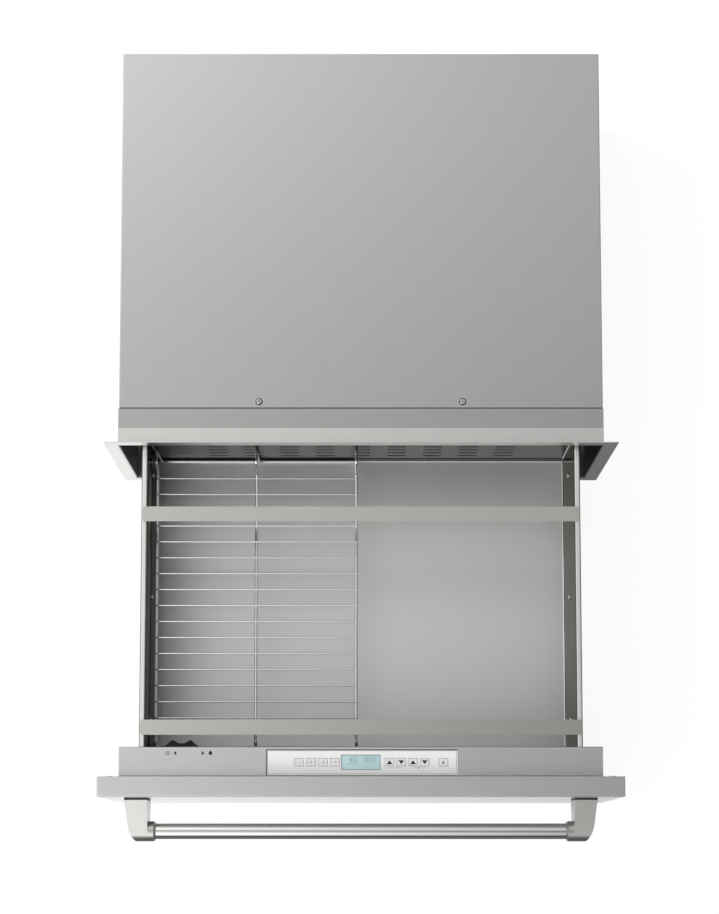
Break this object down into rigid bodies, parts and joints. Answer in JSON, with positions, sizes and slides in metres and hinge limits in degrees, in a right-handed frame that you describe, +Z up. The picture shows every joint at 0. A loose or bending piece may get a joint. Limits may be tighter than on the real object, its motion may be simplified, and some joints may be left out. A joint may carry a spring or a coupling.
{
  "type": "built-in warming drawer",
  "caption": "Built-in warming drawer: steel case with a trim flange, a heated pan on telescopic runners, wire rack, cross bars, top-edge controls and a bar handle.",
  "frame": {"origin": "middle of the width, at the face of the cabinet (back of the trim flange), on the underside of the case", "axes": "+X to the right seen from in front, +Y from the front to the back, +Z up"},
  "size_m": [0.759, 1.1808, 0.268],
  "materials": {
    "outer_steel": "brushed, fine straight grain",
    "liner_steel": "bright annealed, nearly mirror",
    "handle_steel": "polished",
    "rack_wire": "bright nickel-chrome plate",
    "runner_steel": "zinc plated",
    "galvanised": "hot-dip galvanised sheet",
    "screw_steel": "bright",
    "panel_plastic": "moulded, satin",
    "key_plastic": "moulded, satin",
    "black_plastic": "moulded, fine grain",
    "window_glass": "clear",
    "display": "back-lit liquid crystal",
    "circuit_board": "solder mask",
    "glass_wool": "pressed mineral fibre",
    "element_sheath": "oxidised heater sheath",
    "rubber": "matt",
    "terminal_plastic": "moulded"
  },
  "bodies": {
    "case": {"top_cover": "outer_steel", "bottom_panel": "galvanised", "side_panel_left": "outer_steel", "side_panel_right": "outer_steel", "back_panel": "galvanised", "front_ring": "outer_steel", "trim_flange": "outer_steel", "case_screws": "screw_steel", "rear_baffle": "galvanised", "floor_insulation": "glass_wool", "heater_tray": "galvanised", "heating_element": "element_sheath", "element_clips": "galvanised", "temperature_probe": "screw_steel", "supply_board": "circuit_board", "terminal_block": "terminal_plastic", "cord_gland": "black_plastic", "runner_support_left": "galvanised", "runner_support_right": "galvanised", "runner_outer_left": "runner_steel", "runner_outer_right": "runner_steel"},
    "drawer": {"drawer_pan": "liner_steel", "drawer_side_left": "liner_steel", "drawer_side_right": "liner_steel", "runner_inner_left": "runner_steel", "runner_inner_right": "runner_steel", "drawer_screws": "screw_steel", "door_skin": "outer_steel", "door_back_plate": "liner_steel", "door_insulation": "glass_wool", "door_bumpers": "rubber", "handle_pads": "rubber", "handle_bar": "handle_steel", "handle_bracket_left": "handle_steel", "handle_bracket_right": "handle_steel", "control_deck": "outer_steel", "control_panel": "panel_plastic", "display_window": "window_glass", "display_module": "display", "control_board": "circuit_board", "key_switches": "black_plastic"},
    "outer_ball_cage_left": {"outer_ball_cage_left": "runner_steel"},
    "runner_middle_left": {"runner_middle_left": "runner_steel"},
    "inner_ball_cage_left": {"inner_ball_cage_left": "runner_steel"},
    "outer_ball_cage_right": {"outer_ball_cage_right": "runner_steel"},
    "runner_middle_right": {"runner_middle_right": "runner_steel"},
    "inner_ball_cage_right": {"inner_ball_cage_right": "runner_steel"},
    "mode_key_1": {"mode_key_1": "key_plastic"},
    "mode_key_2": {"mode_key_2": "key_plastic"},
    "mode_key_3": {"mode_key_3": "key_plastic"},
    "mode_key_4": {"mode_key_4": "key_plastic"},
    "left_up_key": {"left_up_key": "key_plastic"},
    "left_down_key": {"left_down_key": "key_plastic"},
    "right_up_key": {"right_up_key": "key_plastic"},
    "right_down_key": {"right_down_key": "key_plastic"},
    "lock_key": {"lock_key": "key_plastic"},
    "moisture_slider": {"moisture_slider": "black_plastic"},
    "wire_rack": {"wire_rack": "rack_wire"},
    "front_cross_bar": {"front_cross_bar": "outer_steel"},
    "rear_cross_bar": {"rear_cross_bar": "outer_steel"}
  },
  "joints": [
    {"name": "drawer_slide", "type": "slide", "parent": "case", "child": "drawer", "axis": [0, -1, 0], "range_m": [-0.485, 0]},
    {"name": "outer_ball_cage_left_slide", "type": "slide", "parent": "case", "child": "outer_ball_cage_left", "axis": [0, -1, 0], "range_m": [-0.12135, 0.0001]},
    {"name": "runner_middle_left_slide", "type": "slide", "parent": "case", "child": "runner_middle_left", "axis": [0, -1, 0], "range_m": [-0.2426, 0.0001]},
    {"name": "inner_ball_cage_left_slide", "type": "slide", "parent": "case", "child": "inner_ball_cage_left", "axis": [0, -1, 0], "range_m": [-0.36385, 0.0001]},
    {"name": "outer_ball_cage_right_slide", "type": "slide", "parent": "case", "child": "outer_ball_cage_right", "axis": [0, -1, 0], "range_m": [-0.12135, 0.0001]},
    {"name": "runner_middle_right_slide", "type": "slide", "parent": "case", "child": "runner_middle_right", "axis": [0, -1, 0], "range_m": [-0.2426, 0.0001]},
    {"name": "inner_ball_cage_right_slide", "type": "slide", "parent": "case", "child": "inner_ball_cage_right", "axis": [0, -1, 0], "range_m": [-0.36385, 0.0001]},
    {"name": "mode_key_1_press", "type": "slide", "parent": "drawer", "child": "mode_key_1", "axis": [0, 0, -1], "range_m": [0, 0.0006], "stiffness_N_per_m": 300, "springref_m": -0.0005},
    {"name": "mode_key_2_press", "type": "slide", "parent": "drawer", "child": "mode_key_2", "axis": [0, 0, -1], "range_m": [0, 0.0006], "stiffness_N_per_m": 300, "springref_m": -0.0005},
    {"name": "mode_key_3_press", "type": "slide", "parent": "drawer", "child": "mode_key_3", "axis": [0, 0, -1], "range_m": [0, 0.0006], "stiffness_N_per_m": 300, "springref_m": -0.0005},
    {"name": "mode_key_4_press", "type": "slide", "parent": "drawer", "child": "mode_key_4", "axis": [0, 0, -1], "range_m": [0, 0.0006], "stiffness_N_per_m": 300, "springref_m": -0.0005},
    {"name": "left_up_key_press", "type": "slide", "parent": "drawer", "child": "left_up_key", "axis": [0, 0, -1], "range_m": [0, 0.0006], "stiffness_N_per_m": 300, "springref_m": -0.0005},
    {"name": "left_down_key_press", "type": "slide", "parent": "drawer", "child": "left_down_key", "axis": [0, 0, -1], "range_m": [0, 0.0006], "stiffness_N_per_m": 300, "springref_m": -0.0005},
    {"name": "right_up_key_press", "type": "slide", "parent": "drawer", "child": "right_up_key", "axis": [0, 0, -1], "range_m": [0, 0.0006], "stiffness_N_per_m": 300, "springref_m": -0.0005},
    {"name": "right_down_key_press", "type": "slide", "parent": "drawer", "child": "right_down_key", "axis": [0, 0, -1], "range_m": [0, 0.0006], "stiffness_N_per_m": 300, "springref_m": -0.0005},
    {"name": "lock_key_press", "type": "slide", "parent": "drawer", "child": "lock_key", "axis": [0, 0, -1], "range_m": [0, 0.0006], "stiffness_N_per_m": 300, "springref_m": -0.0005},
    {"name": "moisture_slide", "type": "slide", "parent": "drawer", "child": "moisture_slider", "axis": [1, 0, 0], "range_m": [0, 0.028]},
    {"name": "rack_slide", "type": "slide", "parent": "drawer", "child": "wire_rack", "axis": [1, 0, 0], "range_m": [0, 0.3]},
    {"name": "front_bar_slide", "type": "slide", "parent": "drawer", "child": "front_cross_bar", "axis": [0, 1, 0], "range_m": [-0.016, 0.15]},
    {"name": "rear_bar_slide", "type": "slide", "parent": "drawer", "child": "rear_cross_bar", "axis": [0, 1, 0], "range_m": [-0.14, 0.1]}
  ],
  "couplings": [
    {"joint": "outer_ball_cage_left_slide", "follows": "drawer_slide", "ratio": 0.25},
    {"joint": "runner_middle_left_slide", "follows": "drawer_slide", "ratio": 0.5},
    {"joint": "inner_ball_cage_left_slide", "follows": "drawer_slide", "ratio": 0.75},
    {"joint": "outer_ball_cage_right_slide", "follows": "drawer_slide", "ratio": 0.25},
    {"joint": "runner_middle_right_slide", "follows": "drawer_slide", "ratio": 0.5},
    {"joint": "inner_ball_cage_right_slide", "follows": "drawer_slide", "ratio": 0.75}
  ]
}
